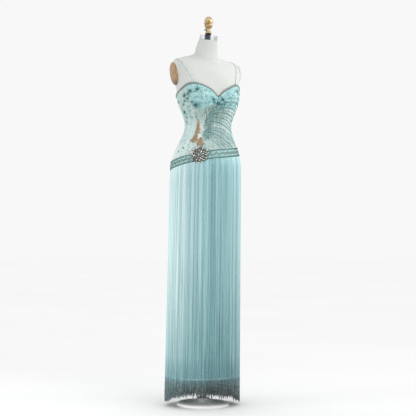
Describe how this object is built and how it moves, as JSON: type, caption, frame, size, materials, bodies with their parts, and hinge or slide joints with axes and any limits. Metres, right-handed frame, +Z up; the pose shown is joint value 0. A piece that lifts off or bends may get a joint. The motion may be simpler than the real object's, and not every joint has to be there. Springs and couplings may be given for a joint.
{
  "type": "fringed evening gown on dress form",
  "caption": "Floor-length evening gown with embroidered cups, sheer beaded bodice, slanted hip belt with brooch and a long bead fringe, standing on a limbless dress form.",
  "frame": {"origin": "centre of the stand base's underside, on the floor", "axes": "+Z up along the stand's pole; -Y towards the gown's front; +X towards the wearer's left"},
  "size_m": [0.3492, 0.2694, 1.786],
  "materials": {
    "net": "sheer net, satin",
    "cup": "embroidered satin",
    "beaded": "close beadwork",
    "crystal": "polished crystal in metal",
    "strap": "satin",
    "slip": "satin",
    "fringe": "bead fringe, satin",
    "form_cloth": "matt jersey over a rigid shell",
    "chrome": "polished",
    "gilt": "satin gilt",
    "wood": "varnished",
    "white_enamel": "white enamel, gloss",
    "dark_metal": "black paint, satin"
  },
  "bodies": {
    "root": {"form_body": "form_cloth", "form_neck_cap": "chrome", "form_collar": "dark_metal", "form_finial": "gilt", "form_finial_screw": "chrome", "arm_plate_right": "wood", "arm_plate_left": "wood", "stand_base": "white_enamel", "stand_pole": "chrome", "bodice_front": "net", "bodice_side_front_right": "net", "bodice_side_front_left": "net", "bodice_side_right": "net", "bodice_side_left": "net", "bodice_back_right": "net", "bodice_back_left": "net", "cup_right": "cup", "cup_left": "cup", "neckline_binding": "beaded", "strap_right": "strap", "strap_left": "strap", "belt_front": "beaded", "belt_back": "beaded", "brooch": "crystal", "slip_front": "slip", "slip_back": "slip", "fringe_front": "fringe", "fringe_back": "fringe"}
  },
  "joints": []
}
